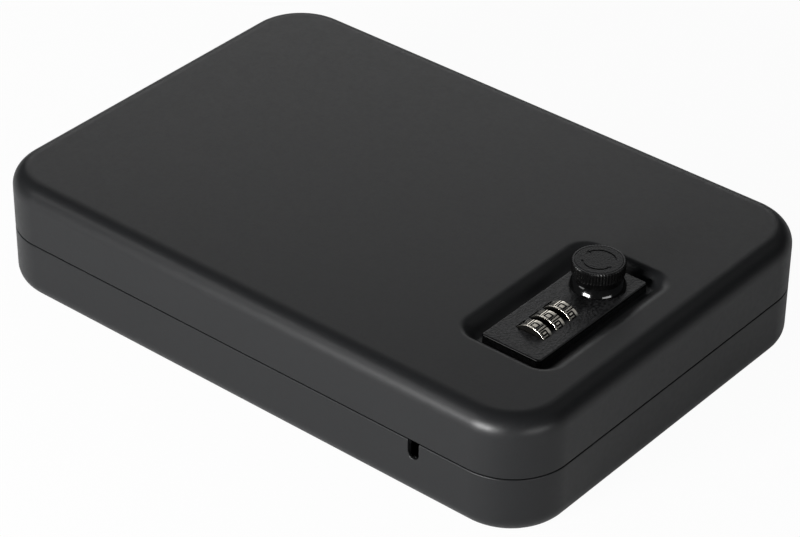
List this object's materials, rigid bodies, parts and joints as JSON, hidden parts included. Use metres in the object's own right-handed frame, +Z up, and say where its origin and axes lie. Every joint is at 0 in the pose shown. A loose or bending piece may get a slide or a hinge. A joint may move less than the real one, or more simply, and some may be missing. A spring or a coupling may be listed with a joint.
{
  "type": "medication lock box",
  "caption": "Portable steel lock box for medicines with a hinged lid, a dial combination lock, a turning knob and a cable notch.",
  "frame": {"origin": "centre of the flat underside of the base", "axes": "+Z up; +Y towards the hinge, along the long side; the lock is at the -Y end and the cable notch in the -X side"},
  "size_m": [0.164, 0.2427, 0.0549],
  "materials": {
    "powder_coat": "satin black powder coat on pressed steel",
    "lock_black": "fine textured black on die-cast zinc",
    "gloss_black": "glossy black on turned zinc",
    "nickel": "bright nickel plate",
    "zinc_casting": "bare die-cast zinc",
    "zinc_steel": "bright zinc plate",
    "spring_steel": "plain hardened steel",
    "brass": "plain turned brass",
    "foam": "black open-cell foam"
  },
  "bodies": {
    "base": {"base_shell": "powder_coat", "base_rim_lip": "powder_coat", "strike_bracket": "zinc_steel", "base_foam_pad": "foam", "base_hinge_leaf": "powder_coat", "hinge_pin": "zinc_steel"},
    "lid": {"lid_shell": "powder_coat", "lid_foam_pad": "foam", "lid_hinge_leaf": "powder_coat", "lock_plate": "lock_black", "lock_body": "zinc_casting", "lock_cover": "zinc_steel", "cover_screw_1": "zinc_steel", "cover_screw_2": "zinc_steel", "cover_screw_3": "zinc_steel", "cover_screw_4": "zinc_steel", "dial_spindle": "spring_steel", "fence_comb": "spring_steel", "detent_spring": "spring_steel"},
    "knob": {"knob": "gloss_black", "knob_cap": "lock_black", "knob_shaft": "zinc_steel", "latch_cam": "zinc_steel", "cam_washer": "zinc_steel", "cam_nut": "zinc_steel"},
    "dial_1": {"dial_wheel_1": "nickel", "code_hub_1": "brass"},
    "dial_2": {"dial_wheel_2": "nickel", "code_hub_2": "brass"},
    "dial_3": {"dial_wheel_3": "nickel", "code_hub_3": "brass"},
    "code_lever": {"code_change_lever": "brass"}
  },
  "joints": [
    {"name": "lid_hinge", "type": "hinge", "parent": "base", "child": "lid", "pos_m": [0, 0.1203, 0.0233], "axis": [-1, 0, 0], "range_deg": [0, 175]},
    {"name": "knob_turn", "type": "hinge", "parent": "lid", "child": "knob", "pos_m": [0.0025, -0.0847, 0.0445], "axis": [0, 0, 1], "range_deg": [0, 90]},
    {"name": "dial_1_turn", "type": "hinge", "parent": "lid", "child": "dial_1", "pos_m": [-0.03177, -0.0847, 0.0393], "axis": [1, 0, 0], "continuous": true},
    {"name": "dial_2_turn", "type": "hinge", "parent": "lid", "child": "dial_2", "pos_m": [-0.02465, -0.0847, 0.0393], "axis": [1, 0, 0], "continuous": true},
    {"name": "dial_3_turn", "type": "hinge", "parent": "lid", "child": "dial_3", "pos_m": [-0.01753, -0.0847, 0.0393], "axis": [1, 0, 0], "continuous": true},
    {"name": "code_lever_slide", "type": "slide", "parent": "lid", "child": "code_lever", "axis": [1, 0, 0], "range_m": [0, 0.003]}
  ]
}
